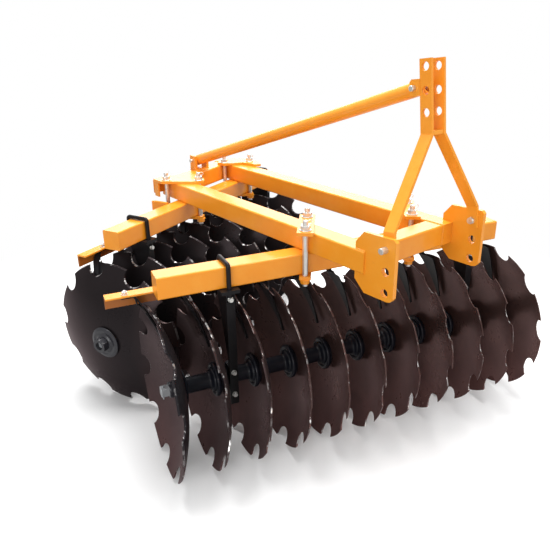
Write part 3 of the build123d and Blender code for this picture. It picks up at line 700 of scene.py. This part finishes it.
def disc_grid(first):
    """Grid of one disc, hollow to -y, axle along y, and how bare each point is. Going out on the hollow
    face, y = sqrt(S^2 - r^2) - S with S the sphere's radius; back in on a sphere 5 mm larger, after a
    bevel that thins the edge. Inside the notches the rows are circles, and outside them they spread
    to the outline."""
    rim, angle = disc_outline(first)
    plain = np.array(CIRCLES)[:, None] + 0 * rim
    spread = np.array([0.4, 0.75])[:, None]
    bevel = rim - BEVEL
    front_r = np.vstack([plain, CIRCLES[-1] + (rim - 0.003 - CIRCLES[-1]) * spread, rim - 0.001, rim])
    back_r = np.vstack([bevel, bevel - 0.0006, CIRCLES[-1] + (bevel - 0.003 - CIRCLES[-1]) * spread[::-1],
                        plain[::-1]])
    r = np.vstack([front_r, rim, back_r])
    y = np.vstack([dish(front_r), dish(rim) + LIP, dish(back_r, DISH_R + DISC_T)])
    bare = 0 * r
    # The rim rows are marked bare, a ground bevel worn bright and a painted highlight: fully in the notches,
    # where the edges catch the light, and 0.55 on the arcs.
    bare[len(front_r) - 1:len(front_r) + 2] = np.where(rim < DISC_R - 0.001, 1.0, 0.55)
    return np.stack([r * np.cos(angle), y, r * np.sin(angle)], 2), bare


# Painted light and shade: one lacquer toned by place, grey above and light red below on the near end discs,
# lighter brown on the rest of the front row, and near-black on the rear gang.
NEAR_END_SHADED_GREY, NEAR_END_LIT_RED = (0.026, 0.025, 0.028), (0.092, 0.049, 0.048)
ROW_LIT_BROWN, ROW_LOW_LIT_BROWN = (0.118, 0.066, 0.057), (0.130, 0.062, 0.056)
REAR_SHADED_BROWN, FILM_BROWN, GROUND_EDGE_HIGHLIGHT = (0.019, 0.016, 0.017), (0.022, 0.017, 0.018), (0.58, 0.57, 0.56)
lacquer = Finish("brown_black_lacquer_painted_light", IOR=1.5, Specular_IOR_Level=0.11, Specular_Tint=(1.0, 0.78, 0.80))
film = lacquer.grain(6.0, 5.0)
smear = lacquer.grain(60.0, 4.0)
rubbed = lacquer.grain(34.0, 5.0, 0.65).between(0.53, 0.6)
# Bright bare steel where the rim is marked and rubbed: wear on the ground bevel, and a painted highlight
# along the edges.
worn_edge_highlight = lacquer.mark("bare").between(0.3, 1.0) * rubbed
# Heights and places where the painted light and shade change.
lit_low_down = 1.0 - lacquer.part(2).between(0.12, 0.42)
lit_lowest = 1.0 - lacquer.part(2).between(0.04, 0.26)
leftward = lacquer.part(1).between(-0.75, -0.2)
behind = 1.0 - lacquer.part(0).between(-0.06, 0.06)
front_painted_tone = lacquer.mix(leftward, lacquer.mix(lit_lowest, NEAR_END_SHADED_GREY, NEAR_END_LIT_RED),
                         lacquer.mix(lit_low_down, ROW_LIT_BROWN, ROW_LOW_LIT_BROWN))
painted_tone = lacquer.mix(behind, front_painted_tone, REAR_SHADED_BROWN)
filmed = lacquer.mix(film.between(0.35, 0.7) * 0.4, painted_tone, FILM_BROWN)
lacquer.set(Base_Color=lacquer.mix(worn_edge_highlight, filmed, GROUND_EDGE_HIGHLIGHT),
            Roughness=0.2 + film * 0.12 + smear * 0.06, Metallic=0.45 + worn_edge_highlight * 0.35)
lacquer.bump(film, 0.0005, 0.15)
for name, gang in GANGS.items():
    even, odd = (disc_grid(first) for first in gang.notches)
    discs = [gang_row(gang, ((odd if k % 2 else even)[0], True), k, AXLE_Z) for k in range(gang.discs)]
    made = piece(name + "_disc_set", discs, lacquer, name + "_gang", "disc_steel", 25.0,
                 bare=np.tile(even[1], (gang.discs, 1, 1)))
    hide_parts(name + "_discs")

# ---- floor, camera and light ------------------------------------------------------------------------
# A white studio floor that keeps the shadow near the harrow and runs out to plain white, soft light
# from above, and a pale panel behind that the painted tops mirror.
FLOOR_HALF, FLOOR_Z = 40, -0.0005
FADE = (1.35, 2.3)                # metres from the middle between which the floor turns plain white
FLOOR_MIRRORED, FLOOR_SEEN = (0.45, 0.45, 0.45), (0.93, 0.93, 0.93)
corners = [(x * FLOOR_HALF, y * FLOOR_HALF, 0) for x, y in ((-1, -1), (1, -1), (1, 1), (-1, 1))]
floor_mesh = bpy.data.meshes.new("studio_floor")
floor_mesh.from_pydata(corners, [], [(0, 1, 2, 3)])
floor = bpy.data.objects.new("studio_floor", floor_mesh)
floor.location.z = FLOOR_Z
bpy.context.scene.collection.objects.link(floor)
pale = Finish("pale_floor", Roughness=0.95, Specular_IOR_Level=0.0)
faded = pale.add("VectorMath", {"operation": "LENGTH"}, {0: pale.place}, "Value").between(*FADE)
seen = pale.add("LightPath", {}, {}, "Is Camera Ray")
pale.set(Base_Color=pale.mix(seen, FLOOR_MIRRORED, FLOOR_SEEN))
shadowed, glow = Flow(pale, pale.shader.outputs[0]), pale.add("Emission", {}, {})
blend = pale.add("MixShader", {}, {0: faded * seen, 1: shadowed, 2: glow})
pale.tree.links.new(blend.socket, pale.end.inputs[0])
floor_mesh.materials.append(pale.material)

EYE = (1.8604, -1.4479, 1.4509)
YAW, TILT, ROLL = math.radians(139.74), math.radians(-22.09), math.radians(-0.25)
FOCAL, SENSOR, SHIFT = 38.091927, 36.0, (-0.0278, -0.0174)
cam_data = bpy.data.cameras.new("camera")
camera = bpy.data.objects.new("camera", cam_data)
bpy.context.scene.collection.objects.link(camera)
bpy.context.scene.camera = camera
look = Vector((math.cos(TILT) * math.cos(YAW), math.cos(TILT) * math.sin(YAW), math.sin(TILT)))
level = look.cross(Vector(UPWARD)).normalized()
upper = level.cross(look)
right = level * math.cos(ROLL) + upper * math.sin(ROLL)
up = upper * math.cos(ROLL) - level * math.sin(ROLL)
camera.matrix_world = Matrix.Translation(EYE) @ Matrix((right, up, -look)).transposed().to_4x4()
cam_data.sensor_width, cam_data.lens = SENSOR, FOCAL
cam_data.shift_x, cam_data.shift_y = SHIFT
cam_data.clip_end = 200.0

SKY, SKY_SEEN, WHITE = 0.55, 1.0, (1.0, 1.0, 1.0)
world = bpy.data.worlds.new("studio")
bpy.context.scene.world = world
world.use_nodes = True
sky = Nodes(world.node_tree)
soft = sky.add("Background", {}, {"Color": WHITE, "Strength": SKY})
white = sky.add("Background", {}, {"Color": WHITE, "Strength": SKY_SEEN})
seen = sky.add("LightPath", {}, {}, "Is Camera Ray")
sky.add("OutputWorld", {}, {0: sky.add("MixShader", {}, {0: seen, 1: soft, 2: white})})


def softbox(name, at, aim, width, height, power):
    """A rectangular lamp at one point, facing another."""
    lamp = bpy.data.lights.new(name, "AREA")
    lamp.shape, lamp.size, lamp.size_y, lamp.energy = "RECTANGLE", width, height, power
    made = bpy.data.objects.new(name, lamp)
    bpy.context.scene.collection.objects.link(made)
    made.location = at
    made.rotation_euler = (Vector(aim) - Vector(at)).to_track_quat("-Z", "Y").to_euler()
    made.visible_camera = False


softbox("overhead", (-0.4, 0.4, 4.2), (0, 0, 0.4), 3.2, 3.2, 260.0)
softbox("panel", (-3.4, 3.1, 2.6), (0.2, 0, 0.7), 5.0, 2.4, 118.0)
softbox("front", (4.0, 1.2, 2.9), (0, 0, 0.6), 3.0, 2.0, 62.0)
softbox("side", (2.5, -4.0, 1.7), (0.2, 0, 0.35), 3.0, 2.0, 80.0)
bpy.context.scene.view_settings.view_transform = "Standard"
